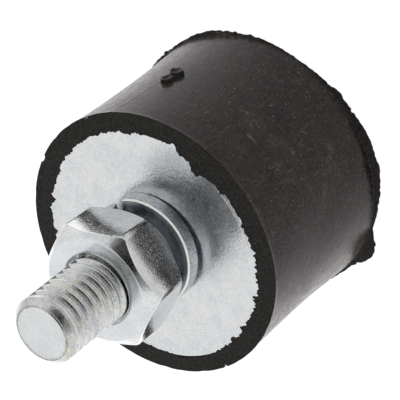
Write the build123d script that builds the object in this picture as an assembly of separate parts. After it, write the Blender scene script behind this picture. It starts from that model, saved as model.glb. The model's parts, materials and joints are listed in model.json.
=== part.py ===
from build123d import *
import math
import os
import random

# Rubber buffer: a moulded rubber cylinder with a steel plate and one threaded stud in its front end.
# Millimetres and degrees. +Z runs along the stud, and the origin is the centre of the plain rubber end.
# Angles are measured about +Z, from +X towards +Y.

# Rubber cylinder
body_height = 26.5
front_radius = 20.0
rear_radius = 20.1
waist_depth = 0.4
flash_width = 0.25
flash_tooth = 0.18
flash_thickness = 0.45
flash_teeth = 60
flash_seed = 3
flap_reach = 1.5
flap_angle = 209.0
flap_spread = 26.0
swell_reach = 0.7
swell_angle = 257.0
swell_spread = 62.0
gate_height = 14.5
gate_angle = -23.7
gate_length = 4.2
gate_width = 2.75
gate_stub = 0.9
gate_root = 0.4
gate_cup_spacing = 2.3
gate_cup_radius = 0.85
gate_cup_floor_radius = 0.5
gate_cup_depth = 0.4

# Steel plate bonded into the front end
plate_radius = 17.8
plate_thickness = 2.5
plate_edge_chamfer = 0.6

# Threaded stud, M10 with a nominal 25 mm outside. Its thread is drawn as a plain cylinder over the crests.
thread_radius = 4.95
thread_pitch_radius = 4.51
stud_length = 25.5
stud_tip_rounding = 1.2
stud_tip_facets = 3
head_radius = 7.5
head_thickness = 3.0

# Split spring washer, left-hand helix, not yet pressed flat, so its ends pass each other
washer_bore_radius = 5.3
washer_width = 2.7
washer_thickness = 2.2
washer_rise = 3.1
washer_turn = 367.0
washer_low_end = -3.5

# Hexagon nut, M10
nut_across_flats = 16.8
nut_height = 8.0
nut_chamfer_circle_radius = 7.75
nut_chamfer_angle = 38.0
nut_mouth_radius = 5.4
nut_mouth_angle = 30.0

# Places worked out from the sizes
waist_radius = (front_radius + rear_radius) / 2 - waist_depth
plate_front = body_height
plate_back = plate_front - plate_thickness
head_back = plate_back - head_thickness
nut_back = plate_front + washer_thickness + washer_rise
nut_front = nut_back + nut_height
stud_tip = plate_front + stud_length


def turned(points):
    """A closed outline of (radius, height) points, turned about the Z axis."""
    return revolve(Plane.XZ * make_face(Polyline(*points, close=True)), Axis.Z)


def cylinder_block():
    """The plain rubber cylinder, whose side draws in to a waist at mid height."""
    side = ThreePointArc(
        (rear_radius, 0), (waist_radius, body_height / 2), (front_radius, body_height)
    )
    rest = Polyline((front_radius, body_height), (0, body_height), (0, 0), (rear_radius, 0))
    return revolve(Plane.XZ * make_face(side + rest), Axis.Z)


def lobe(angle, middle, spread, reach):
    """A single rounded bump that stands out by reach at its middle angle and ends half its spread away."""
    turn = (angle - middle + 180) % 360 - 180
    if abs(turn) > spread / 2:
        return 0
    return reach * math.cos(math.pi * turn / spread)


def flash_reach(angle):
    """How far the trimmed flash stands out of the rear edge: a narrow lip with a swell and a flap."""
    swell = lobe(angle, swell_angle, swell_spread, swell_reach)
    flap = lobe(angle, flap_angle, flap_spread, flap_reach)
    return flash_width + swell + flap


def rear_flash():
    """The thin lip of flash in the plane of the rear end, torn to an uneven saw-tooth edge."""
    teeth = random.Random(flash_seed)
    outline = []
    for tooth in range(flash_teeth):
        angle = 360 * tooth / flash_teeth
        radius = rear_radius + flash_reach(angle) + flash_tooth * teeth.uniform(-1, 1)
        outline.append((radius * math.cos(math.radians(angle)), radius * math.sin(math.radians(angle))))
    return extrude(make_face(Polyline(*outline, close=True)), flash_thickness)


def gate_stub_solid():
    """The stub where the rubber was torn off its gate: an oval boss with two shallow cups in its top."""
    boss_height = gate_root + gate_stub
    boss = extrude(Ellipse(gate_length / 2, gate_width / 2), boss_height)
    cup = Cone(gate_cup_floor_radius, gate_cup_radius, gate_cup_depth)
    for side in (-1, 1):
        boss -= Pos(side * gate_cup_spacing / 2, 0, boss_height - gate_cup_depth / 2) * cup
    # The boss's own height turns to point outwards, and its length then lies along the cylinder
    root = Pos(0, 0, waist_radius - gate_root)
    outwards = Rot(0, 0, gate_angle) * Pos(0, 0, gate_height) * Rot(0, 90, 0)
    return outwards * root * boss


def mounting_plate():
    edge = plate_radius - plate_edge_chamfer
    return turned([
        (thread_radius, plate_back),
        (plate_radius, plate_back),
        (plate_radius, plate_front - plate_edge_chamfer),
        (edge, plate_front),
        (thread_radius, plate_front),
    ])


def rounded_tip():
    """The outline of the stud's rounded end, as a few straight steps round a quarter circle."""
    steps = [math.radians(90 * step / stud_tip_facets) for step in range(stud_tip_facets + 1)]
    centre_radius = thread_radius - stud_tip_rounding
    centre_height = stud_tip - stud_tip_rounding
    return [
        (centre_radius + stud_tip_rounding * math.cos(step), centre_height + stud_tip_rounding * math.sin(step))
        for step in steps
    ]


def threaded_stud():
    """The stud, which is pressed through the plate and held by the head behind it."""
    return turned([
        (0, head_back),
        (head_radius, head_back),
        (head_radius, plate_back),
        (thread_radius, plate_back),
        (thread_radius, nut_back),
        (thread_pitch_radius, nut_back),
        (thread_pitch_radius, nut_front),
        (thread_radius, nut_front),
        *rounded_tip(),
        (0, stud_tip),
    ])


def spring_washer():
    """One coil of flat wire, rising clockwise as seen from the stud's tip."""
    coil_radius = washer_bore_radius + washer_width / 2
    coil = Helix(
        pitch=washer_rise * 360 / washer_turn, height=washer_rise, radius=coil_radius, lefthand=True
    )
    section_plane = Plane(origin=coil @ 0, z_dir=coil % 0, x_dir=(1, 0, 0))
    section = section_plane * Rectangle(washer_width, washer_thickness)
    washer = sweep(section, path=coil, is_frenet=True)
    return Pos(0, 0, plate_front + washer_thickness / 2) * Rot(0, 0, washer_low_end) * washer


def hex_nut():
    """A hexagon with both ends turned to a cone, and a bore countersunk at both mouths."""
    corner_radius = nut_across_flats / math.sqrt(3)
    prism = Pos(0, 0, nut_back) * extrude(RegularPolygon(corner_radius, 6), nut_height)
    fall = (corner_radius - nut_chamfer_circle_radius) * math.tan(math.radians(nut_chamfer_angle))
    mouth_depth = (nut_mouth_radius - thread_pitch_radius) * math.tan(math.radians(nut_mouth_angle))
    envelope = turned([
        (thread_pitch_radius, nut_back + mouth_depth),
        (nut_mouth_radius, nut_back),
        (nut_chamfer_circle_radius, nut_back),
        (corner_radius, nut_back + fall),
        (corner_radius, nut_front - fall),
        (nut_chamfer_circle_radius, nut_front),
        (nut_mouth_radius, nut_front),
        (thread_pitch_radius, nut_front - mouth_depth),
    ])
    return prism & envelope


def rubber_body(plate, stud):
    """The moulding: cylinder, flash and gate stub, hollow where the plate and the stud's head sit."""
    return cylinder_block() + rear_flash() + gate_stub_solid() - plate - stud


plate = mounting_plate()
stud = threaded_stud()
nodes = {
    "rubber_body": rubber_body(plate, stud),
    "mounting_plate": plate,
    "threaded_stud": stud,
    "spring_washer": spring_washer(),
    "hex_nut": hex_nut(),
}

os.makedirs("parts", exist_ok=True)
for name, shape in nodes.items():
    export_step(shape, f"parts/{name}.step")
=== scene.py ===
"""A rubber buffer with a threaded stud, a spring washer and a nut, finished for a studio picture.

Lengths are millimetres and angles are degrees about +Z, from +X towards +Y, unless a comment says so.
Meshes are worked out in millimetres and stored in metres.
"""

import json
import math

import bmesh
import bpy
import numpy as np
from mathutils import Matrix, Vector


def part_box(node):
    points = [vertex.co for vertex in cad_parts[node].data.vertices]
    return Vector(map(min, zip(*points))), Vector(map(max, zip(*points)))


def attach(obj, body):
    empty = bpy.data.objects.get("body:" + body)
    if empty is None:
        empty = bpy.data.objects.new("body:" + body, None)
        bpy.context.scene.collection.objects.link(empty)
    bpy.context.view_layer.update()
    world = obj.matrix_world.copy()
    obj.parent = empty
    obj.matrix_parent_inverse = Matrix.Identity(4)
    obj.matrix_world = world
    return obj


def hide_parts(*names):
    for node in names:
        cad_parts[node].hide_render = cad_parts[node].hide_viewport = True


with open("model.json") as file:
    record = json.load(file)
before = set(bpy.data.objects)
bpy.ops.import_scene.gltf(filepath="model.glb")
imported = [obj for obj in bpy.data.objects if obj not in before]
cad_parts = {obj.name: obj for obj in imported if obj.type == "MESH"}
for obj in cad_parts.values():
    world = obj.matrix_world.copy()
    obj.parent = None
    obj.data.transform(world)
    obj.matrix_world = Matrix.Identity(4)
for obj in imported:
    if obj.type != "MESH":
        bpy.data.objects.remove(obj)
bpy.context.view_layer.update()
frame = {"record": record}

MM = 0.001


def node_box(node):
    """The lowest and highest corners of a CAD node, in millimetres."""
    low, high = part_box(node)
    return low / MM, high / MM


def mount_radius(name):
    """The radius that the record gives a mount."""
    mount = next(mount for mount in frame["record"]["mounts"] if mount["name"] == name)
    return mount["dims"]["r_mm"]


# Sizes read from the frame
plate_low, plate_high = node_box("mounting_plate")
stud_low, stud_high = node_box("threaded_stud")
nut_low, nut_high = node_box("hex_nut")
plate_front = plate_high.z
plate_back = plate_low.z
plate_radius = plate_high.x
nut_back = nut_low.z
nut_front = nut_high.z
nut_half_flats = nut_high.y
stud_tip = stud_high.z
head_back = stud_low.z
head_radius = stud_high.x
thread_radius = mount_radius("stud")

merge_distance = 0.002

# How many points go round each piece, and how many rings go to a turn of the thread
body_columns = 900
gate_columns = 160
plate_columns = 480
stud_columns = 144
nut_columns = 720
thread_rings_per_pitch = 26

# Where the rings lie, as radii, as heights, or as shares of the way from one edge to the next
plain_end_radii = np.linspace(4.0, 19.4, 6)
side_heights = np.concatenate([np.linspace(0.6, 25.6, 56), np.linspace(25.75, 26.44, 8)])
front_shares = np.linspace(0.1, 0.95, 12)
gate_shares = np.linspace(0.99, 0.02, 40)
washer_shares = np.concatenate([[0.0, 0.0006], np.linspace(0.003, 0.997, 260), [0.9994, 1.0]])
nut_cone_shares = np.linspace(0.12, 0.9, 9)
nut_flat_shares = np.linspace(0.06, 0.94, 16)

# Rubber
front_radius = 20.0
behind_edge_radius = 19.92
waist_radius = 19.68
rear_radius = 20.06
edge_flare_length = 0.35
recess_clearance = 0.02
front_face_margin = 0.03
rear_face_margin = 0.5

# Unevenness of the side and the front, and how far it turns: in degrees for each millimetre of the side,
# and in all across the front
side_unevenness = 0.035
side_twist = 3
front_unevenness = 0.02
front_twist = 40

# The sharp front edge, as (outwards, upwards) from its corner
edge_profile = ((-0.005, -0.025), (-0.04, 0.0))

# Nicks of the front edge: the depth of the small ones, and large ones as (azimuth, half width, depth)
small_nick_depth = 0.05
edge_nicks = ((-4.2, 1.2, 0.35), (30.0, 2.0, 0.3), (180.3, 0.9, 0.45))

# The thin parting line between the gate and the front edge
parting_angle_front = -17.8
parting_angle_gate = -19.5
parting_height = 0.035
parting_half_width = 0.3

# The torn flash round the rear end
flash_thickness = 0.42
flash_reach = 0.32
flash_least_reach = 0.03
flash_wave = 0.06
flash_fray = 0.04
flash_root_reach = 0.04

# The flash's outer edge, as (outwards of its torn outline, height)
flash_profile = ((-0.12, 0.0), (0.0, 0.06), (0.0, 0.25), (-0.05, 0.3))

# Broad forms of the flash, as (azimuth, half width, reach)
flash_swells = ((-14, 26, 0.32), (-59, 17, -0.3), (-104, 38, 0.8), (-151.5, 13, 1.6), (20, 12, 0.3))

# Small tags and notches of the flash, in the same form
flash_tags = (
    (-27, 1, 0.2), (-34, 0.9, 0.22), (-77.5, 3, 0.35), (-86.7, 0.8, -0.3), (-111, 2.6, 0.2),
    (-146, 1, 0.2), (12, 1.2, 0.2), (-21, 0.7, -0.15), (-123, 1.5, 0.2), (-159, 1.2, -0.2),
)

# Where the flash shows a torn black face, as (azimuth, half width)
flash_torn = ((-112, 75), (95, 75), (13, 3), (3.5, 4), (-10.3, 7.2), (-26.3, 1.3), (-34.8, 0.9))

# The film of rubber that creeps over the plate's edge. Its torn edge has teeth, drawn at random between
# the least and the greatest half width and depth, and is rougher round one azimuth.
film_radius = 17.15
film_height = 0.1
film_wave = 0.05
film_fray = 0.05
film_margin = 0.02
film_teeth = 190
film_tooth_half_widths = (0.12, 0.4)
film_tooth_depths = (0.04, 0.22)
film_tooth_signs = (-0.5, 1.0)
film_rough_azimuth = -150.0
film_rough_spread = 85.0
film_roughening = 0.9

# The film's torn face, as (outwards of its edge, height above the plate)
film_profile = ((0.06, film_height), (0.0, 0.4 * film_height), (0.05, -0.12))

# Broad forms of the film's edge, and its tags and bare bits, as (azimuth, half width, reach)
film_swells = ((165, 36, 0.5), (-65, 20, -1.2), (-94, 26, -0.4), (38, 16, -0.25))
film_tags = (
    (-65, 1.8, -0.75), (-62.3, 1.2, -0.45), (-49.3, 1.8, 0.45), (-58.8, 0.5, 0.35), (-112, 0.9, 0.45),
    (-79, 2.2, -0.6), (-95, 2.2, 0.25), (-107, 2.5, -0.3), (-102, 1, 0.15), (29.5, 1, -0.3),
    (31.5, 0.5, -0.25), (48.5, 1.8, -0.3), (53, 0.8, 0.3), (-23.5, 3.5, -0.4), (-136, 0.8, -0.4),
    (-152, 0.6, -0.3), (-161, 1.5, 0.3), (-141, 3, 0.25), (66, 1.5, -0.15), (17, 1.2, -0.2),
    (-166, 1.7, -0.45), (-172.5, 0.8, -0.35), (-157, 0.6, -0.35), (-146.5, 0.7, -0.3),
    (-127, 0.6, -0.35), (-119, 0.8, -0.35), (-133, 0.5, -0.25), (-178, 0.9, -0.25),
)

# The gate stub, whose torn lobes are (place along the axis, place across, radius, height, depth of cup)
gate_angle = -23.7
gate_height = 14.5
gate_root = 0.5
gate_floor = 0.1
gate_front_lobe = (1.15, 0.15, 0.9, 0.62, 0.3)
gate_neck = (0.0, 0.05, 0.92, 0.42, 0.0)
gate_rear_lobe = (-1.1, -0.05, 1.0, 0.7, 0.3)
gate_lobes = (gate_front_lobe, gate_neck, gate_rear_lobe)

# The wall's slope, the cup and the part of it that stays smooth, each as a share of a lobe's radius
gate_wall_share = 0.12
gate_cup_share = 0.8
gate_smooth_share = 0.82

# The raised tag on the rear lobe's rim
gate_tag_along = -1.4
gate_tag_across = 0.95
gate_tag_half_width = 0.7
gate_tag_height = 0.2
gate_tag_base = 0.3

# Scuffs on the side, and broad faint pale patches of painted sheen, as (azimuth, height, half length,
# half width, tilt, strength)
side_scuffs_and_painted_sheen = (
    (-61.3, 15.1, 1.8, 0.35, 30, 0.9), (-69.4, 18.4, 1.9, 0.25, 5, 0.8), (-84.5, 13.8, 1.2, 0.5, -20, 0.8),
    (-66, 16, 2.6, 1.2, 60, 0.35), (-86, 18.2, 1.4, 0.6, -30, 0.6), (-93, 7, 1.6, 0.7, 20, 0.6),
    (-81.4, 9.8, 1, 0.3, 0, 0.7), (-106.9, 11.7, 1.2, 0.4, -60, 0.7), (-40.3, 9.1, 0.7, 0.1, 15, 1),
    (-50, 20, 1.2, 0.5, 40, 0.4), (-78, 15.5, 3.5, 2, 30, 0.2), (-100, 8, 4, 2, 45, 0.18),
)

# Plate
plate_wave = 0.01
plate_twist = 9
plate_face_radii = np.linspace(thread_radius, 16.2, 36)
plate_chamfer = 0.6
plate_groove_azimuth = -92.0
plate_groove_spread = 22.0

# The plate's rim, as (radius, drop, depth of the groove that runs inside one side of it)
plate_rim = (
    (16.3, 0, 0), (16.36, 0, 0.12), (16.45, 0, -0.03), (16.6, 0, -0.02), (16.85, 0, 0.03),
    (17.1, 0, 0.03), (17.45, 0.01, 0), (17.62, 0.08, 0), (17.74, 0.28, 0), (17.78, 0.7, 0),
)

# The plate's one dent
plate_dent_azimuth = 183.5
plate_dent_radius = 14.84
plate_dent_half_width = 0.5
plate_dent_depth = 0.12

# The plate's painted dark reflection, darker and grainier, as middle and spread in azimuth and in radius
plate_painted_reflection_azimuth = -75.0
plate_painted_reflection_azimuth_spread = 52.0
plate_painted_reflection_radius = 12.8
plate_painted_reflection_radius_spread = 5.0

# Stud, M10 with a rolled thread. The crest and the root are shares of the pitch on each side of their
# middles, and the flank between them is partly straight and partly an S curve.
thread_pitch = 1.5
thread_root_radius = 4.34
thread_crest_share = 0.075
thread_root_share = 0.15
thread_straight_share = 0.75
thread_start = 0.3
thread_end = 0.1
thread_runout = 0.9

# The stud's end: a rounded chamfer, a groove and a bead round a flat
tip_flat_radius = 3.68
tip_groove_radius = 4.02
tip_chamfer_length = 0.95
tip_chamfer_power = 1.2
tip_bead = 0.13
tip_wave = 0.03
tip_flat_drop = 0.08
tip_flat_rings = (3.2, 2.5, 1.7, 0.8)
tip_end_depth = 0.12
tip_end_margin = 0.05

# The bead, as (radius, drop below the end)
tip_profile = (
    (tip_groove_radius, tip_bead + 0.05), (tip_groove_radius - 0.06, tip_bead),
    (tip_groove_radius - 0.12, 0.03), (tip_groove_radius - 0.2, 0.0),
    (tip_flat_radius + 0.08, 0.01), (tip_flat_radius, 0.06), (tip_flat_radius - 0.12, tip_flat_drop),
)

# Grime in the end's groove and, fainter, on its shoulder
groove_grime_half_width = 0.16
groove_grime_length = 0.5
shoulder_grime = 0.15
shoulder_grime_drop = 0.75
shoulder_grime_half_width = 0.7
shoulder_grime_radius = 4.1

# Spring washer, left-hand helix. Its ends are cut aslant: each point of the section is moved on along the
# coil by its height and by its distance out, in degrees for each millimetre.
washer_bore_radius = 5.3
washer_width = 2.7
washer_thickness = 2.2
washer_rise = 3.1
washer_low_end = -1.8
washer_high_end = -370.4
washer_lean = -3.0
washer_low_skew = -5.0
washer_high_skew = -2.0
washer_corner = 0.12
washer_bevel_width = 0.17
washer_bevel_height = 0.34
washer_climb_power = 1.42
washer_clearance = 0.005
washer_end_pinch = 0.96

# The least height of a face's normal on the washer's front face and bevel, and on the nut's turned ends
washer_face_upright = 0.93
washer_bevel_upright = 0.35
nut_end_upright = 0.97

# The lighter rim of the washer's front face, a painted reflection where the face's painted shade ends
washer_rim_start = 7.05
washer_rim_end = 7.4

# Nut
nut_chamfer_radius = 7.75
nut_chamfer_angle = 38.0
nut_cone_start = 0.02
nut_ring_radii = np.linspace(5.95, nut_chamfer_radius - 0.1, 9)
nut_corner_blunting = 0.2
nut_corner_sharpness = 30
nut_edge_rounding = 0.16

# The nut's mouth, as (radius, depth): the end of the bore, a ledge and the countersink
nut_mouth = ((4.5, 0.48), (4.97, 0.42), (5.34, 0.09), (5.42, 0.03), (5.52, 0.0))

# The edge between a cone and a flat, as (inwards, depth) in shares of its rounding
nut_edge = ((0.25, -0.05), (0.06, 0.25), (0.0, 0.9))

# Painted reflections on the nut's flats, as (azimuth of the flat, place along it, height above the nut's
# back, half length, half width, tilt, strength). The dark ones are a painted reflection of the black
# rubber, with a coarser grain, and the bright ones a painted bright reflection.
nut_dark_reflection_and_grain_patches = (
    (-30, -3.7, 6.5, 2.6, 1, 0, 0.75), (-30, -0.6, 6.3, 2.8, 1.1, -18, 0.7),
    (-30, 2.6, 4.4, 3, 1.2, -38, 0.7), (-90, -3.4, 1.7, 3, 2.3, 0, 1),
    (-90, 0.6, 2.8, 3.8, 3.2, 8, 1.1), (-90, 3.6, 2.9, 3, 3.2, 0, 0.75),
    (-150, -3.4, 4.65, 2.6, 0.8, 27, 0.55), (-150, 0, 6.3, 2.4, 0.65, 25, 0.55),
)
nut_bright_reflection_patches = (
    (-30, 2.9, 7, 3.2, 1.5, -32, 0.45), (-90, 0, 6.5, 6, 1.1, 0, 0.6),
    (-90, -3.8, 5.2, 2.2, 1.5, 0, 1.2), (-150, -3.4, 6.4, 3.2, 1.5, 33, 0.8),
)


# Mesh helpers

def all_round(columns):
    """Evenly spaced azimuths, all the way round."""
    return np.arange(columns) * 360 / columns


def turned(radii, heights, azimuths):
    """Points from radii, heights and azimuths, as an array of rings."""
    turn = np.radians(azimuths)
    radii, heights, turn = np.broadcast_arrays(radii, heights, turn)
    return np.stack([radii * np.cos(turn), radii * np.sin(turn), heights], axis=-1)


def rings_at(outline, azimuths):
    """A ring for each (radius, height) of an outline. Both may vary with the azimuth."""
    return np.array([turned(radius, height, azimuths) for radius, height in outline])


def ring_object(name, rings, looped=False):
    """A closed object of rings joined by quads. The end rings are capped, or joined to each other."""
    rows, columns = rings.shape[:2]
    points = rings.reshape(-1, 3)
    index = np.arange(rows * columns).reshape(rows, columns)
    first = index if looped else index[:-1]
    second = np.roll(index, -1, axis=0) if looped else index[1:]
    quads = np.stack([first, np.roll(first, -1, axis=1), np.roll(second, -1, axis=1), second], axis=-1)
    faces = quads.reshape(-1, 4).tolist()
    if not looped:
        for row in (0, rows - 1):
            centre = len(points)
            points = np.vstack([points, rings[row].mean(axis=0)])
            edge = index[row].tolist()
            faces += [(centre, a, b) for a, b in zip(edge, edge[1:] + edge[:1])]
    return mesh_object(name, points, faces)


def mesh_object(name, points, faces):
    """An object from points in millimetres, its faces smooth and turned outwards."""
    mesh = bpy.data.meshes.new(name)
    mesh.from_pydata((np.asarray(points) * MM).tolist(), [], faces)
    work = bmesh.new()
    work.from_mesh(mesh)
    bmesh.ops.remove_doubles(work, verts=work.verts, dist=merge_distance * MM)
    bmesh.ops.recalc_face_normals(work, faces=work.faces)
    work.to_mesh(mesh)
    work.free()
    mesh.shade_smooth()
    return new_object(name, mesh)


def new_object(name, data):
    """An object of a mesh or a camera, in the scene."""
    made = bpy.data.objects.new(name, data)
    bpy.context.scene.collection.objects.link(made)
    return made


def join(target, other):
    """Puts another object's mesh into the target's."""
    work = bmesh.new()
    work.from_mesh(target.data)
    work.from_mesh(other.data)
    bpy.data.objects.remove(other)
    work.to_mesh(target.data)
    work.free()
    target.data.shade_smooth()


def vectors_of(items, name):
    """A vector of each vertex or face of a mesh, as rows of x, y and z."""
    values = np.empty(3 * len(items))
    items.foreach_get(name, values)
    return values.reshape(-1, 3).T


def vertex_places(mesh):
    """The place of each vertex of a mesh, in millimetres, as rows of x, y and z."""
    return vectors_of(mesh.vertices, "co") / MM


def face_places(mesh):
    """The middle of each face of a mesh, in millimetres, as rows of x, y and z."""
    return vectors_of(mesh.polygons, "center") / MM


def uprightness(mesh):
    """How far each face looks up: 1 where it faces up, and -1 where it faces down."""
    return vectors_of(mesh.polygons, "normal")[2]


def store(mesh, name, values):
    """Stores a number for each vertex of a mesh, which materials read by its name."""
    mesh.attributes.new(name, "FLOAT", "POINT").data.foreach_set("value", values)


def use_materials(mesh, chosen):
    """Gives each face the first material, or the second where it is true or 1, or the third where 2."""
    mesh.polygons.foreach_set("material_index", chosen.astype(np.int32))


def ripple(azimuths, seed, slowest, fastest, count):
    """A random wave that closes on itself round the axis, mostly within -1 and 1."""
    draws = np.random.default_rng(seed)
    turn = np.radians(azimuths)
    waves = draws.integers(slowest, fastest + 1, count)
    phases = draws.uniform(0, 2 * math.pi, count)
    sizes = draws.uniform(0.5, 1.0, count)
    total = sum(size * np.sin(wave * turn + phase) for wave, phase, size in zip(waves, phases, sizes))
    return total / math.sqrt(0.6 * count)


def angle_between(azimuths, centre):
    """Signed turn from centre to each azimuth, within -180 and 180."""
    return (np.asarray(azimuths) - centre + 180) % 360 - 180


def bump(distance, half_width):
    """A smooth bump of height 1 at distance 0, which ends at the half width."""
    share = np.clip(np.abs(distance) / half_width, 0, 1)
    return 0.5 + 0.5 * np.cos(math.pi * share)


def knob(distance, half_width):
    """A rounded bump with steep sides, of height 1."""
    share = np.clip(np.abs(distance) / half_width, 0, 1)
    return np.sqrt(1 - share ** 2)


def oval(across, up, half_length, half_width, tilt):
    """A smooth oval bump of height 1, tilted, at distances across and up from its middle."""
    turn = math.radians(tilt)
    long = across * math.cos(turn) + up * math.sin(turn)
    short = up * math.cos(turn) - across * math.sin(turn)
    return bump(np.hypot(long / half_length, short / half_width), 1)


# Rubber body

body_azimuths = all_round(body_columns)


def side_radius(height):
    """Radius of the side: waisted, and flared just behind the front edge."""
    share = height / plate_front
    middle = 4 * share * (1 - share)
    straight = rear_radius + (behind_edge_radius - rear_radius) * share
    sag = (rear_radius + behind_edge_radius) / 2 - waist_radius
    return straight - sag * middle + (front_radius - behind_edge_radius) * near_front(height)


def near_front(height):
    """A share that falls from 1 at the front edge to nearly nothing just behind it."""
    return math.exp(-(plate_front - height) / edge_flare_length)


def forms(shape, parts):
    """The sum of bumps of one shape round the rubber, from (azimuth, half width, reach)."""
    return sum(reach * shape(angle_between(body_azimuths, azimuth), half) for azimuth, half, reach in parts)


def flash_radius():
    """Radius of the torn rear flash: an uneven lip that swells on one side, and one flap."""
    wave = flash_wave * ripple(body_azimuths, seed=4, slowest=6, fastest=24, count=10)
    fray = flash_fray * ripple(body_azimuths, seed=5, slowest=40, fastest=150, count=24)
    reach = flash_reach + forms(bump, flash_swells) + forms(knob, flash_tags) + wave + fray
    return rear_radius + np.maximum(reach, flash_least_reach)


def film_edge():
    """Radius of the ragged edge where the film of rubber ends on the plate."""
    wave = film_wave * ripple(body_azimuths, seed=7, slowest=5, fastest=16, count=7)
    fray = film_fray * ripple(body_azimuths, seed=8, slowest=30, fastest=90, count=24)
    edge = film_radius + forms(bump, film_swells) + forms(knob, film_tags) + wave + fray
    draws = np.random.default_rng(9)
    for _ in range(film_teeth):
        centre = draws.uniform(0, 360)
        half_width = draws.uniform(*film_tooth_half_widths)
        depth = draws.choice(film_tooth_signs) * draws.uniform(*film_tooth_depths)
        across = np.radians(angle_between(body_azimuths, centre)) * film_radius
        rougher = 1 + film_roughening * bump(angle_between(centre, film_rough_azimuth), film_rough_spread)
        edge = edge - rougher * depth * knob(across, half_width)
    return np.minimum(edge, plate_radius - film_margin)


def front_nicks():
    """How far the sharp front edge is nicked back."""
    small = np.maximum(ripple(body_azimuths, seed=11, slowest=12, fastest=60, count=16), 0)
    return small_nick_depth * small + forms(knob, edge_nicks)


def parting_ridge(height):
    """Height of the thin parting line from the gate to the front edge."""
    if height < gate_height:
        return 0 * body_azimuths
    share = (height - gate_height) / (plate_front - gate_height)
    angle = parting_angle_gate + (parting_angle_front - parting_angle_gate) * share
    across = np.radians(angle_between(body_azimuths, angle)) * waist_radius
    return parting_height * bump(across, parting_half_width)


def rear_outline():
    """The plain end, from its middle round the edge of the torn flash to the flash's root."""
    outline = [(radius, 0.0) for radius in plain_end_radii]
    torn = flash_radius()
    outline += [(torn + outwards, height) for outwards, height in flash_profile]
    return outline + [(rear_radius + flash_root_reach, flash_thickness)]


def side_outline(nicks):
    """The side, up to the nicked front edge. Its rings lie closer together near that edge."""
    outline = []
    for height in side_heights:
        turn = side_twist * height
        uneven = side_unevenness * ripple(body_azimuths + turn, seed=13, slowest=2, fastest=7, count=5)
        radius = side_radius(height) + uneven + parting_ridge(height)
        outline.append((radius - nicks * near_front(height), height))
    edge = front_radius - nicks
    return outline + [(edge + outwards, plate_front + upwards) for outwards, upwards in edge_profile]


def front_outline(nicks):
    """The front end, to the film's torn edge and down the recess that holds the plate and the head."""
    edge = front_radius - nicks
    film = film_edge()
    outline = []
    for share in front_shares:
        turn = front_twist * share
        dip = front_unevenness * ripple(body_azimuths + turn, seed=17, slowest=5, fastest=30, count=10)
        outline.append((edge + (film - edge) * share, plate_front + film_height * share ** 3 + dip))
    outline += [(film + outwards, plate_front + height) for outwards, height in film_profile]
    seat = plate_radius + recess_clearance
    outline += [(seat, plate_front - plate_chamfer), (seat, plate_back)]
    return outline + [(head_radius, plate_back), (head_radius, head_back)]


def lobe_height(along, across, lobe):
    """Height of one lobe of the gate stub above the side, at places along and across the stub."""
    centre_along, centre_across, radius, height, cup = lobe
    away = np.hypot(along - centre_along, across - centre_across) / radius
    wall = np.clip((1.0 - away) / gate_wall_share, 0, 1)
    hollow = np.clip(1 - (away / gate_cup_share) ** 2, 0, 1)
    return height * wall - cup * hollow


def gate_top(along, across):
    """Height of the gate stub above the side: its lobes together, with a raised tag on one rim."""
    height = np.max([lobe_height(along, across, lobe) for lobe in gate_lobes], axis=0)
    from_tag = np.hypot(along - gate_tag_along, across - gate_tag_across)
    tag = gate_tag_height * bump(from_tag, gate_tag_half_width) * (height > gate_tag_base)
    return np.maximum(height, gate_floor) + tag


def gate_outline(turn):
    """Half size of the gate stub in each direction: the outline of its lobes together."""
    reach = np.zeros_like(turn)
    for centre_along, centre_across, radius, _, _ in gate_lobes:
        towards = centre_along * np.cos(turn) + centre_across * np.sin(turn)
        beside = centre_along * np.sin(turn) - centre_across * np.cos(turn)
        inside = np.clip(radius ** 2 - beside ** 2, 0, None)
        reach = np.maximum(reach, np.where(inside > 0, towards + np.sqrt(inside), 0))
    return reach


def gate_ring(along, across, height):
    """A ring at places along and across the gate stub, at a height above the side."""
    azimuth = gate_angle + np.degrees(across / waist_radius)
    return turned(waist_radius + height, gate_height + along, azimuth)


def gate_rings():
    """The torn gate stub: two lobes, each with a sharp rim round a cup, and the neck between them."""
    turn = np.radians(all_round(gate_columns))
    along = gate_outline(turn) * np.cos(turn)
    across = gate_outline(turn) * np.sin(turn)
    rings = [gate_ring(along, across, -gate_root), gate_ring(along, across, 0.0)]
    for share in gate_shares:
        rings.append(gate_ring(share * along, share * across, gate_top(share * along, share * across)))
    return np.array(rings)


def in_gate_cup(along, across):
    """Whether places along and across the gate stub lie in the smooth part of its cups."""
    inside = np.zeros(len(along), dtype=bool)
    for centre_along, centre_across, radius, _, _ in (gate_front_lobe, gate_rear_lobe):
        inside |= np.hypot(along - centre_along, across - centre_across) < gate_smooth_share * radius
    return inside


def torn_faces(mesh, body_faces):
    """Which faces are torn rubber: both ends, parts of the flash, and the gate stub but for its cups.

    The gate stub's faces come after the body's.
    """
    x, y, z = face_places(mesh)
    azimuth = np.degrees(np.arctan2(y, x))
    on_gate = np.arange(len(z)) >= body_faces
    in_cup = in_gate_cup(z - gate_height, np.radians(azimuth - gate_angle) * waist_radius)
    torn = np.hypot(x, y) < rear_radius - rear_face_margin
    for centre, half_width in flash_torn:
        torn |= np.abs(angle_between(azimuth, centre)) < half_width
    front = z > plate_front - front_face_margin
    rear = (z < flash_thickness) & ~on_gate & torn
    return front | rear | (on_gate & ~in_cup)


def mark_side(mesh):
    """Stores how strongly each point of the side is scuffed or brightened by painted sheen."""
    x, y, height = vertex_places(mesh)
    azimuth = np.degrees(np.arctan2(y, x))
    wear_and_painted_sheen = np.zeros(len(height))
    for centre, level, half_length, half_width, tilt, strength in side_scuffs_and_painted_sheen:
        across = np.radians(angle_between(azimuth, centre)) * waist_radius
        wear_and_painted_sheen += strength * oval(across, height - level, half_length, half_width, tilt)
    store(mesh, "wear_and_painted_sheen", wear_and_painted_sheen)


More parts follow.
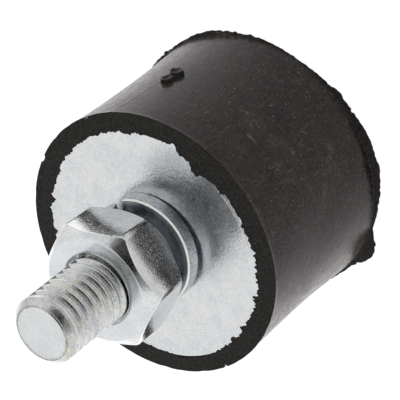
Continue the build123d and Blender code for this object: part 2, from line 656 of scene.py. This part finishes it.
def make_rubber():
    """The moulding. Its torn faces take the second material."""
    nicks = front_nicks()
    outline = rear_outline() + side_outline(nicks) + front_outline(nicks)
    piece = ring_object("rubber_moulding", rings_at(outline, body_azimuths))
    body_faces = len(piece.data.polygons)
    join(piece, ring_object("gate_stub", gate_rings()))
    use_materials(piece.data, torn_faces(piece.data, body_faces))
    mark_side(piece.data)
    return piece


# Plate

def plate_outline(azimuths):
    """The plate, from its bore over its slightly wavy face and round its rim to the back."""
    outline = []
    for radius in plate_face_radii:
        wave = plate_wave * ripple(azimuths + plate_twist * radius, seed=23, slowest=1, fastest=6, count=6)
        across = np.radians(angle_between(azimuths, plate_dent_azimuth)) * radius
        dent = plate_dent_depth * bump(np.hypot(across, radius - plate_dent_radius), plate_dent_half_width)
        outline.append((radius, plate_front + wave - dent))
    grooved = bump(angle_between(azimuths, plate_groove_azimuth), plate_groove_spread)
    outline += [(radius, plate_front - drop - groove * grooved) for radius, drop, groove in plate_rim]
    return outline + [(plate_radius, plate_back), (thread_radius, plate_back)]


def mark_plate(mesh):
    """Stores how strongly each point lies in the plate's painted dark reflection."""
    x, y, _ = vertex_places(mesh)
    around = angle_between(np.degrees(np.arctan2(y, x)), plate_painted_reflection_azimuth)
    outwards = np.hypot(x, y) - plate_painted_reflection_radius
    store(mesh, "painted_dark_reflection_and_grain", bump(around, plate_painted_reflection_azimuth_spread) * bump(outwards, plate_painted_reflection_radius_spread))


def make_plate():
    """The plate, with its painted dark reflection marked."""
    azimuths = all_round(plate_columns)
    piece = ring_object("zinc_plate", rings_at(plate_outline(azimuths), azimuths), looped=True)
    mark_plate(piece.data)
    return piece


# Stud

def thread_depth(phase):
    """Depth of the thread below its crests, from 0 to 1, at a share of the pitch."""
    from_crest = abs((phase + 0.5) % 1 - 0.5)
    flank = 0.5 - thread_crest_share - thread_root_share
    slope = min(max((from_crest - thread_crest_share) / flank, 0), 1)
    curve = slope * slope * (3 - 2 * slope)
    return thread_straight_share * slope + (1 - thread_straight_share) * curve


def tip_envelope(heights):
    """Largest radius allowed at each height, which chamfers the stud's end."""
    share = np.clip((heights - (stud_tip - tip_chamfer_length)) / tip_chamfer_length, 0, 1)
    return thread_radius - (thread_radius - tip_groove_radius) * share ** tip_chamfer_power


def thread_outline(azimuths):
    """The thread. Its rings climb as helices, one pitch for each turn, and it runs out before the end."""
    lower = plate_front + thread_start
    upper = stud_tip - thread_end
    climb = azimuths / 360 * thread_pitch
    turns = (upper - lower) / thread_pitch + 1
    outline = []
    for step in range(int(turns * thread_rings_per_pitch)):
        phase = step / thread_rings_per_pitch
        start = lower + (phase - 1) * thread_pitch
        heights = np.clip(start + climb, lower, upper)
        depth = (thread_radius - thread_root_radius) * thread_depth(phase)
        fade = np.clip((stud_tip - thread_runout - heights) / thread_runout, 0, 1)
        outline.append((tip_envelope(heights) - depth * fade, heights))
    return outline


def stud_outline(azimuths):
    """The stud: its head and shank in the plate, the thread, and the end with its bead and flat."""
    outline = [
        (head_radius, head_back), (head_radius, plate_back), (thread_radius, plate_back),
        (thread_radius, plate_front), (thread_radius, plate_front + thread_start),
    ]
    outline += thread_outline(azimuths)
    wave = tip_wave * ripple(azimuths, seed=31, slowest=2, fastest=9, count=6)
    outline += [(radius + wave, stud_tip - drop) for radius, drop in tip_profile]
    return outline + [(radius, stud_tip - tip_flat_drop) for radius in tip_flat_rings]


def mark_stud(mesh):
    """Stores how grimy each point of the stud's end is."""
    x, y, z = vertex_places(mesh)
    radius = np.hypot(x, y)
    groove = bump(radius - tip_groove_radius, groove_grime_half_width)
    groove = groove * (z > stud_tip - groove_grime_length)
    below = z - (stud_tip - shoulder_grime_drop)
    shoulder = shoulder_grime * bump(below, shoulder_grime_half_width) * (radius > shoulder_grime_radius)
    store(mesh, "grime", groove + shoulder)


def make_stud():
    """The stud. Its flat end takes the second material."""
    azimuths = all_round(stud_columns)
    piece = ring_object("rolled_stud", rings_at(stud_outline(azimuths), azimuths))
    x, y, z = face_places(piece.data)
    inside = np.hypot(x, y) < tip_flat_radius + tip_end_margin
    use_materials(piece.data, inside & (z > stud_tip - tip_end_depth))
    mark_stud(piece.data)
    return piece


# Spring washer

def rounded(corners, rounding):
    """The outline of a polygon whose corners are rounded, by a curve of four points at each."""
    points = []
    for at, corner in enumerate(corners):
        before = corners[at - 1] - corner
        after = corners[(at + 1) % len(corners)] - corner
        start = corner + before * rounding / np.linalg.norm(before)
        end = corner + after * rounding / np.linalg.norm(after)
        for share in np.linspace(0, 1, 4):
            points.append(start * (1 - share) ** 2 + 2 * corner * share * (1 - share) + end * share ** 2)
    return np.array(points)


def washer_section():
    """The flat wire's section, as (outwards, upwards) from its middle, bevelled at its outer front edge."""
    out = washer_width / 2
    up = washer_thickness / 2
    bevel_foot = (out, up - washer_bevel_height)
    bevel_top = (out - washer_bevel_width, up)
    corners = np.array([(-out, -up), (out, -up), bevel_foot, bevel_top, (-out, up)])
    return rounded(corners, washer_corner)


def washer_climb(share):
    """Height gained along the coil, which climbs slowly at first."""
    return washer_rise * np.clip(share, 0, 1) ** washer_climb_power


def washer_rings():
    """Sections along the coil. Those at its ends are crowded and pinched, to keep the ends' edges crisp."""
    outwards, upwards = washer_section().T
    middle_radius = washer_bore_radius + washer_width / 2
    low = plate_front + washer_thickness / 2
    turn = washer_high_end - washer_low_end
    rings = []
    for share in washer_shares:
        pinch = washer_end_pinch if share in (0.0, 1.0) else 1.0
        skew = washer_low_skew + (washer_high_skew - washer_low_skew) * share
        shift = washer_lean * upwards + skew * outwards
        climb = washer_climb(share + shift / turn)
        radii = middle_radius + outwards * pinch
        heights = np.maximum(low + climb + upwards * pinch, plate_front + washer_clearance)
        rings.append(turned(radii, heights, washer_low_end + turn * share + shift))
    return np.array(rings)


def make_washer():
    """The coil. Front face: second material, painted shade. Bevel: third material, painted highlight."""
    piece = ring_object("split_washer", washer_rings())
    upright = uprightness(piece.data)
    bevel = np.where(upright > washer_bevel_upright, 2, 0)
    use_materials(piece.data, np.where(upright > washer_face_upright, 1, bevel))
    return piece


# Nut

def hexagon_radius(azimuths):
    """Radius of the hexagon, its corners slightly blunted and rounded."""
    from_flat = np.radians(azimuths % 60 - 30)
    flat = nut_half_flats / np.cos(from_flat)
    corner = nut_half_flats / math.cos(math.radians(30)) - nut_corner_blunting
    together = np.exp(-nut_corner_sharpness * flat) + np.exp(-nut_corner_sharpness * corner)
    return -np.log(together) / nut_corner_sharpness


def nut_half(side):
    """Half of the nut's outline, as (radius, depth below its end), from the mouth to the flat."""
    fall = (side - nut_chamfer_radius) * math.tan(math.radians(nut_chamfer_angle))
    outline = list(nut_mouth)
    outline += [(radius, 0.0) for radius in nut_ring_radii]
    outline += [(nut_chamfer_radius, nut_cone_start)]
    for share in nut_cone_shares:
        outline.append((nut_chamfer_radius + (side - nut_chamfer_radius) * share, fall * share))
    for inwards, depth in nut_edge:
        outline.append((side - inwards * nut_edge_rounding, fall + depth * nut_edge_rounding))
    flat_start = outline[-1][1]
    middle = (nut_front - nut_back) / 2
    for share in nut_flat_shares:
        outline.append((side, flat_start + (middle - flat_start) * share))
    return outline


def nut_outline(azimuths):
    """The whole nut, from its front mouth over the flats to its back mouth."""
    side = hexagon_radius(azimuths)
    half = nut_half(side)
    front = [(radius, nut_front - depth) for radius, depth in half]
    centre = [(side, (nut_front + nut_back) / 2)]
    back = [(radius, nut_back + depth) for radius, depth in reversed(half)]
    return front + centre + back


def mark_flats(mesh, name, patches):
    """Stores how strongly each point of the nut's flats lies in the given patches, from 0 to 1."""
    x, y, z = vertex_places(mesh)
    azimuth = np.degrees(np.arctan2(y, x))
    total = np.zeros(len(z))
    for flat, along, level, half_length, half_width, tilt, strength in patches:
        turn = math.radians(flat)
        across = y * math.cos(turn) - x * math.sin(turn) - along
        on_flat = np.abs(angle_between(azimuth, flat)) <= 30
        total += on_flat * strength * oval(across, z - nut_back - level, half_length, half_width, tilt)
    store(mesh, name, np.minimum(total, 1))


def make_nut():
    """The nut. Its turned front and back faces take the second material."""
    azimuths = all_round(nut_columns)
    piece = ring_object("hexagon_nut", rings_at(nut_outline(azimuths), azimuths), looped=True)
    use_materials(piece.data, np.abs(uprightness(piece.data)) > nut_end_upright)
    # The flats' painted dark reflections, with their coarser grain, and painted bright reflections
    mark_flats(piece.data, "painted_dark_reflection_and_grain", nut_dark_reflection_and_grain_patches)
    mark_flats(piece.data, "painted_bright_reflection", nut_bright_reflection_patches)
    return piece


# Materials

class Nodes:
    """Adds shader nodes to a material or a world."""

    def __init__(self, owner, shader, coordinates):
        owner.use_nodes = True
        self.owner = owner
        self.tree = owner.node_tree
        self.shader = self.tree.nodes[shader]
        self.place = self.add("ShaderNodeTexCoord").outputs[coordinates]

    def add(self, kind):
        return self.tree.nodes.new(kind)

    def link(self, output, socket):
        self.tree.links.new(output, socket)

    def feed(self, socket, value):
        """Links a socket to an output, or sets it to a number or a colour."""
        if isinstance(value, bpy.types.NodeSocket):
            self.link(value, socket)
        elif isinstance(value, tuple):
            socket.default_value = (*value, 1)
        else:
            socket.default_value = value

    def shade(self, name, value):
        """Links or sets a socket of the shader."""
        self.feed(self.shader.inputs[name], value)

    def noise(self, size, detail=3.0, roughness=0.5, stretch=(1, 1, 1)):
        """Noise whose features are about `size` millimetres across."""
        mapping = self.add("ShaderNodeMapping")
        mapping.inputs["Scale"].default_value = stretch
        self.link(self.place, mapping.inputs["Vector"])
        texture = self.add("ShaderNodeTexNoise")
        texture.inputs["Scale"].default_value = 1 / (size * MM)
        texture.inputs["Detail"].default_value = detail
        texture.inputs["Roughness"].default_value = roughness
        self.link(mapping.outputs["Vector"], texture.inputs["Vector"])
        return texture.outputs["Fac"]

    def ramp(self, value, low, high, low_to, high_to, smooth=False):
        """Maps a value from one range to another, clamped, and along an S curve where smooth."""
        node = self.add("ShaderNodeMapRange")
        if smooth:
            node.interpolation_type = "SMOOTHSTEP"
        limits = {"From Min": low, "From Max": high, "To Min": low_to, "To Max": high_to}
        for name, limit in limits.items():
            node.inputs[name].default_value = limit
        self.link(value, node.inputs["Value"])
        return node.outputs["Result"]

    def patches(self, size, start, full, share=1.0, **noise):
        """Patches of noise: nothing where the noise is below start, and the share from full on."""
        return self.ramp(self.noise(size, **noise), start, full, 0, share)

    def mix(self, factor, first, second, kind="RGBA"):
        """Mixes two colours, or two numbers where the kind is FLOAT, by a factor."""
        node = self.add("ShaderNodeMix")
        node.data_type = kind
        self.link(factor, node.inputs["Factor"])
        self.feed(node.inputs["A"], first)
        self.feed(node.inputs["B"], second)
        return node.outputs["Result"]

    def tint(self, factor, colour):
        """Mixes a colour into the material's own."""
        present = self.shader.inputs["Base Color"].links[0].from_socket
        self.shade("Base Color", self.mix(factor, present, colour))

    def attribute(self, name):
        """A number stored on the mesh."""
        node = self.add("ShaderNodeAttribute")
        node.attribute_name = name
        return node.outputs["Fac"]

    def combine(self, operation, first, second):
        """A sum, product or other combination of two values, of which the second may be a number."""
        node = self.add("ShaderNodeMath")
        node.operation = operation
        self.link(first, node.inputs[0])
        self.feed(node.inputs[1], second)
        return node.outputs["Value"]

    def vector(self, operation, first, second=(0, 0, 0)):
        """The outputs Vector and Value of a combination of two vectors."""
        node = self.add("ShaderNodeVectorMath")
        node.operation = operation
        node.inputs[1].default_value = second
        self.link(first, node.inputs[0])
        return node.outputs

    def from_axis(self):
        """Distance from the stud's axis, in metres."""
        flat = self.vector("MULTIPLY", self.place, (1, 1, 0))["Vector"]
        return self.vector("LENGTH", flat)["Value"]

    def facing(self, target):
        """How far a place lies along a direction or, for a ray, the cosine of the angle between them."""
        return self.vector("DOT_PRODUCT", self.place, target)["Value"]

    def ray(self, kind):
        """1 where the light path is of a kind, and 0 elsewhere."""
        return self.add("ShaderNodeLightPath").outputs[kind]

    def bump(self, height, distance, strength=1.0, normal=None):
        """A bump of a height given in millimetres."""
        node = self.add("ShaderNodeBump")
        node.inputs["Distance"].default_value = distance * MM
        self.feed(node.inputs["Strength"], strength)
        self.link(height, node.inputs["Height"])
        if normal:
            self.link(normal, node.inputs["Normal"])
        return node.outputs["Normal"]


def new_material(name):
    """The nodes of a new material."""
    return Nodes(bpy.data.materials.new(name), "Principled BSDF", "Object")


def rubber_material():
    """Moulded rubber: dark and warm, with a low smooth shine, clouds, streaks, specks, scuffs and painted
    sheen.
    """
    black = (0.0058, 0.0045, 0.004)
    brown = (0.0135, 0.0106, 0.0097)
    dusty = (0.06, 0.048, 0.044)
    streaked = (0.07, 0.06, 0.057)
    # Pale tone of the scuffs and of the patches of painted sheen
    rubbed_and_painted_sheen = (0.26, 0.235, 0.225)
    chalky = (0.3, 0.28, 0.26)
    along_axis = (1, 1, 0.22)
    round_axis = (0.3, 0.3, 1)
    made = new_material("rubber")
    clouds = made.patches(4, 0.42, 0.58, detail=5, roughness=0.65)
    made.shade("Base Color", made.mix(clouds, black, brown))
    made.tint(made.patches(0.36, 0.46, 0.6, 0.55, roughness=0.7), dusty)
    made.tint(made.patches(0.55, 0.56, 0.66, 0.5, roughness=0.6, stretch=along_axis), streaked)
    made.tint(made.patches(0.6, 0.58, 0.68, 0.4, roughness=0.6, stretch=round_axis), streaked)
    ragged = made.patches(0.35, 0.46, 0.58, roughness=0.7)
    # Scuffs, and broad patches of painted sheen, where the side is marked
    made.tint(made.combine("MULTIPLY", made.attribute("wear_and_painted_sheen"), ragged), rubbed_and_painted_sheen)
    made.tint(made.patches(0.26, 0.7, 0.76, 0.9, detail=1), chalky)
    made.shade("Specular IOR Level", 0.23)
    made.shade("Specular Tint", (1.0, 0.93, 0.91))
    made.shade("Sheen Weight", 0.5)
    made.shade("Sheen Roughness", 0.3)
    made.shade("Sheen Tint", (1.0, 0.9, 0.86))
    made.shade("Roughness", made.ramp(made.noise(1.4, detail=5, roughness=0.75), 0.42, 0.58, 0.15, 0.3))
    soft = made.bump(made.noise(1.0, roughness=0.6), 0.03)
    made.shade("Normal", made.bump(made.noise(0.26, roughness=0.7), 0.016, normal=soft))
    return made


def torn_rubber_material():
    """Trimmed and torn rubber: black, matt and finely pitted, with a few pale specks."""
    black = (0.015, 0.014, 0.0125)
    grey = (0.033, 0.031, 0.0275)
    pale = (0.2, 0.19, 0.17)
    made = new_material("torn_rubber")
    clouds = made.patches(0.45, 0.42, 0.58, detail=4, roughness=0.75)
    made.shade("Base Color", made.mix(clouds, black, grey))
    made.tint(made.patches(0.22, 0.72, 0.77, 0.7, detail=1), pale)
    made.shade("Specular IOR Level", 0.15)
    made.shade("Roughness", 0.7)
    made.shade("Normal", made.bump(made.noise(0.3, roughness=0.7), 0.06))
    return made


def zinc_material(name, dark, light, roughness, grain_size, grain_height, stain=None, pitting=0.0,
                  bloom=0.08):
    """Zinc plate: cloudy and flecked in tone, with a fine grain over slight waves.

    A stain is the tone of its yellowish clouds, pitting is how dark its specks are, and bloom is how much
    metal look the matt specks of its surface lose, each from 0 to 1.
    """
    pit = (0.2, 0.2, 0.2)
    wave_height = 0.004
    made = new_material(name)
    clouds = made.patches(2.5, 0.4, 0.6, detail=4, roughness=0.6)
    made.shade("Base Color", made.mix(clouds, dark, light))
    if stain:
        made.tint(made.patches(0.9, 0.5, 0.62, 0.75, detail=4, roughness=0.7), stain)
    if pitting:
        rare = 0.68 - 0.06 * pitting
        made.tint(made.patches(0.3, 0.44, 0.6, 0.3 * pitting, detail=2, roughness=0.6), pit)
        made.tint(made.patches(0.28, rare, rare + 0.05, pitting, detail=1), pit)
    matt = made.ramp(made.noise(0.3, detail=2, roughness=0.6), 0.42, 0.62, 1.0, 1.0 - bloom)
    made.shade("Metallic", matt)
    made.shade("Roughness", made.ramp(made.noise(0.8), 0.4, 0.6, 0.85 * roughness, 1.15 * roughness))
    waves = made.bump(made.noise(1.6), wave_height)
    grain = made.bump(made.noise(grain_size, detail=2, roughness=0.6), grain_height, normal=waves)
    made.shade("Normal", grain)
    return made


def grimy(made, grime):
    """Adds grime of a tone where the mesh is marked for it."""
    ragged = made.patches(0.3, 0.38, 0.56, roughness=0.7)
    made.tint(made.combine("MULTIPLY", made.attribute("grime"), ragged), grime)
    return made


def add_painted_reflections(made, dark, bright):
    """Adds painted reflections where the mesh is marked: dark ones with a coarser grain, and bright ones.
    """
    ragged = made.ramp(made.noise(0.28, detail=2, roughness=0.6), 0.42, 0.58, 0.1, 1)
    made.tint(made.combine("MULTIPLY", made.attribute("painted_dark_reflection_and_grain"), ragged), dark)
    made.tint(made.attribute("painted_bright_reflection"), bright)
    smooth = made.shader.inputs["Normal"].links[0].from_socket
    strength = made.ramp(made.attribute("painted_dark_reflection_and_grain"), 0, 1, 0.1, 1)
    grain = made.noise(0.3, detail=2, roughness=0.6)
    made.shade("Normal", made.bump(grain, 0.045, strength, smooth))
    return made


def rimmed(made, light):
    """Adds a lighter outer rim to the washer's front face: a painted reflection where its painted shade
    ends.
    """
    made.tint(made.ramp(made.from_axis(), washer_rim_start * MM, washer_rim_end * MM, 0, 1), light)
    return made


def dress(piece, finishes, node):
    """Gives a piece its materials, and lets it stand for its CAD node."""
    for finish in finishes:
        piece.data.materials.append(finish.owner)
    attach(piece, "root")
    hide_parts(node)


plate_zinc = zinc_material(
    "plate_zinc", (0.68, 0.71, 0.735), (0.755, 0.77, 0.78), roughness=0.19, grain_size=0.32,
    grain_height=0.03, stain=(0.8, 0.8, 0.76), pitting=0.12, bloom=0.15)
stud_zinc = zinc_material(
    "stud_zinc", (0.56, 0.575, 0.595), (0.72, 0.73, 0.73), roughness=0.2, grain_size=0.26,
    grain_height=0.024, stain=(0.79, 0.78, 0.65), pitting=0.4, bloom=0.12)
stud_end = zinc_material(
    "stud_zinc_end", (0.7, 0.73, 0.74), (0.76, 0.785, 0.785), roughness=0.25, grain_size=0.28,
    grain_height=0.016, pitting=0.2)
washer_zinc = zinc_material(
    "washer_zinc", (0.54, 0.57, 0.6), (0.68, 0.7, 0.73), roughness=0.17, grain_size=0.32,
    grain_height=0.055, pitting=0.9, bloom=0.15)
# The washer's front face is a darker copy of its zinc: painted shade under the nut
washer_face = zinc_material(
    "washer_zinc_face_painted_shade", (0.22, 0.25, 0.285), (0.29, 0.325, 0.365), roughness=0.3, grain_size=0.28,
    grain_height=0.016)
# The washer's bevel is a lighter copy of its zinc: a painted highlight along its bright edge
washer_bevel = zinc_material(
    "washer_zinc_bevel_painted_highlight", (0.8, 0.8, 0.77), (0.88, 0.875, 0.84), roughness=0.25, grain_size=0.3,
    grain_height=0.01)
nut_drawn = zinc_material(
    "nut_zinc_drawn", (0.7, 0.71, 0.725), (0.8, 0.81, 0.82), roughness=0.12, grain_size=0.28,
    grain_height=0.008, pitting=0.3)
nut_turned = zinc_material(
    "nut_zinc_turned", (0.7, 0.74, 0.77), (0.78, 0.81, 0.83), roughness=0.2, grain_size=0.4,
    grain_height=0.006)

# Tones of the painted reflections: a bright one, and dark ones for the plate and the nut
bright_reflection_tone = (0.94, 0.94, 0.93)
plate_dark_reflection_tone = (0.36, 0.37, 0.39)
nut_dark_reflection_tone = (0.17, 0.17, 0.185)
thread_grime = (0.2, 0.18, 0.12)
# A lighter tone for the rim of the washer's face: a painted reflection
rim_painted_reflection = (0.62, 0.64, 0.66)

dress(make_rubber(), [rubber_material(), torn_rubber_material()], "rubber_body")
dress(make_plate(), [add_painted_reflections(plate_zinc, plate_dark_reflection_tone, bright_reflection_tone)], "mounting_plate")
dress(make_stud(), [grimy(stud_zinc, thread_grime), stud_end], "threaded_stud")
dress(make_washer(), [washer_zinc, rimmed(washer_face, rim_painted_reflection), washer_bevel],
      "spring_washer")
dress(make_nut(), [add_painted_reflections(nut_drawn, nut_dark_reflection_tone, bright_reflection_tone), nut_turned], "hex_nut")


# Floor, light and camera

def direction(azimuth, elevation):
    """A unit vector from an azimuth and an elevation."""
    a = math.radians(azimuth)
    e = math.radians(elevation)
    return Vector((math.cos(a) * math.cos(e), math.sin(a) * math.cos(e), math.sin(e)))


floor_half_size = 2000
floor_tone = 0.5
floor_camera_glow = 0.85

# What the metal and the rubber see of the floor: dark on one side of the part, and bright on the other.
# The glow falls off between two distances from the part's axis towards the dark side, in metres.
floor_dark_glow = 0.4
floor_bright_glow = 0.92
floor_fade_start = -0.01
floor_fade_end = 0.04
floor_dark_side = direction(-80.0, 0.0)

# The white tent, brighter on one side, and the openings in it, as (azimuth, elevation, angle from their
# middle at which they start to fade, angle at which they end, share of the light that they take away)
tent_strength = 0.88
tent_gradient = 0.1
tent_bright_side = direction(150.0, 10.0)
tent_openings = (
    (-62, 58, 14, 29, 0.92), (-105, 54, 13, 31, 0.62), (-85, 76, 8, 30, 0.75),
)

camera_aim = Vector((1.875, -5.888, 20.0))
camera_azimuth = -78.733
camera_elevation = 45.053
camera_roll = -128.639
camera_distance = 335.56
camera_near_limit = 10
camera_lens = 219.6
camera_sensor = 36.0


def floor_material():
    """A pale matt floor that the camera sees as white, and the metal and the rubber as shaded."""
    made = new_material("floor")
    made.shade("Base Color", (floor_tone, floor_tone, floor_tone))
    made.shade("Roughness", 1.0)
    made.shade("Specular IOR Level", 0.0)
    made.shade("Emission Color", (1.0, 1.0, 1.0))
    shading = made.ramp(made.facing(floor_dark_side), floor_fade_start, floor_fade_end,
                        floor_bright_glow, floor_dark_glow)
    seen = made.combine("MULTIPLY", made.ray("Is Camera Ray"), floor_camera_glow)
    mirrored = made.combine("MULTIPLY", made.ray("Is Glossy Ray"), shading)
    made.shade("Emission Strength", made.combine("ADD", seen, mirrored))
    return made


def make_floor():
    """The floor under the plain end, which keeps the part's shadow."""
    far = floor_half_size * MM
    mesh = bpy.data.meshes.new("studio_floor")
    corners = [(-far, -far, 0), (far, -far, 0), (far, far, 0), (-far, far, 0)]
    mesh.from_pydata(corners, [], [(0, 1, 2, 3)])
    mesh.materials.append(floor_material().owner)
    floor = new_object("studio_floor", mesh)


def make_world():
    """White tent all round, with unlit openings, which the metal reflects as its dark parts."""
    made = Nodes(bpy.data.worlds.new("studio"), "Background", "Generated")
    gradient = made.combine("MULTIPLY", made.facing(tent_bright_side), tent_gradient)
    light = made.combine("ADD", gradient, tent_strength)
    for azimuth, elevation, inner, outer, share in tent_openings:
        fade = made.ramp(made.facing(direction(azimuth, elevation)), math.cos(math.radians(outer)),
                         math.cos(math.radians(inner)), 1.0, 1.0 - share, smooth=True)
        light = made.combine("MULTIPLY", light, fade)
    made.shade("Color", (1.0, 1.0, 1.0))
    made.shade("Strength", made.mix(made.ray("Is Camera Ray"), light, 1.0, kind="FLOAT"))
    bpy.context.scene.world = made.owner


def make_camera():
    """The photograph's view: aimed at the part from above, and rolled."""
    back = direction(camera_azimuth, camera_elevation)
    level = Vector((0, 0, 1)).cross(back).normalized()
    upright = back.cross(level)
    roll = math.radians(camera_roll)
    right = level * math.cos(roll) + upright * math.sin(roll)
    up = back.cross(right)
    data = bpy.data.cameras.new("camera")
    data.lens = camera_lens
    data.sensor_width = camera_sensor
    data.clip_start = camera_near_limit * MM
    camera = new_object("camera", data)
    axes = Matrix((right, up, back)).transposed().to_4x4()
    camera.matrix_world = Matrix.Translation((camera_aim + back * camera_distance) * MM) @ axes
    bpy.context.scene.camera = camera


make_floor()
make_world()
make_camera()
bpy.context.scene.view_settings.view_transform = "Standard"
